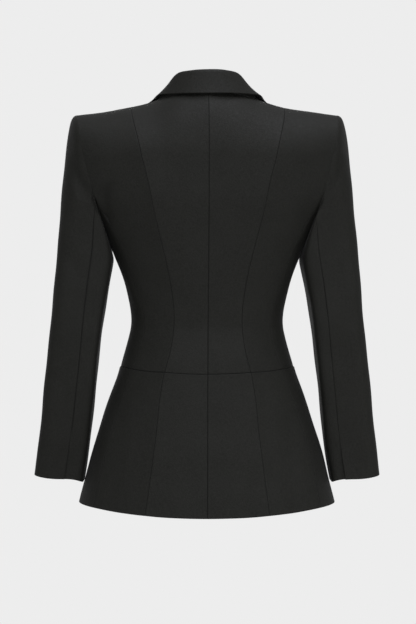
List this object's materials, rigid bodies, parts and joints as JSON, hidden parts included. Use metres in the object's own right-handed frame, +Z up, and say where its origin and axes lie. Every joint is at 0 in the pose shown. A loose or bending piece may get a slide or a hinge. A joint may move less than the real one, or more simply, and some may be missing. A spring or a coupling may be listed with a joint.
{
  "type": "lace-up blazer",
  "caption": "Black tailored jacket with strong shoulders, nipped waist, flared panelled peplum, notched lapels and a front closing laced through eyelets, standing hollow in its worn form.",
  "frame": {"origin": "centre of the neck opening: midway between the two side neck points, at the height of the shoulder seams there", "axes": "+Z up the wearer's neck, +X to the wearer's left, -Y to the wearer's front"},
  "size_m": [0.5504, 0.3182, 0.6978],
  "materials": {
    "wool": "fine matt wool suiting with a slight sheen",
    "eyelets": "dark nickel plate",
    "lace": "matt braided cord"
  },
  "bodies": {
    "root": {"back_left": "wool", "back_right": "wool", "side_back_left": "wool", "side_back_right": "wool", "side_front_left": "wool", "side_front_right": "wool", "front_left": "wool", "front_right": "wool", "peplum_back_left": "wool", "peplum_back_right": "wool", "peplum_side_back_left": "wool", "peplum_side_back_right": "wool", "peplum_side_front_left": "wool", "peplum_side_front_right": "wool", "peplum_front_left": "wool", "peplum_front_right": "wool", "top_sleeve_left": "wool", "top_sleeve_right": "wool", "under_sleeve_left": "wool", "under_sleeve_right": "wool", "lapel_left": "wool", "lapel_right": "wool", "collar": "wool", "eyelet_left_1": "eyelets", "eyelet_left_2": "eyelets", "eyelet_left_3": "eyelets", "eyelet_left_4": "eyelets", "eyelet_left_5": "eyelets", "eyelet_left_6": "eyelets", "eyelet_right_1": "eyelets", "eyelet_right_2": "eyelets", "eyelet_right_3": "eyelets", "eyelet_right_4": "eyelets", "eyelet_right_5": "eyelets", "eyelet_right_6": "eyelets", "lace": "lace"}
  },
  "joints": []
}
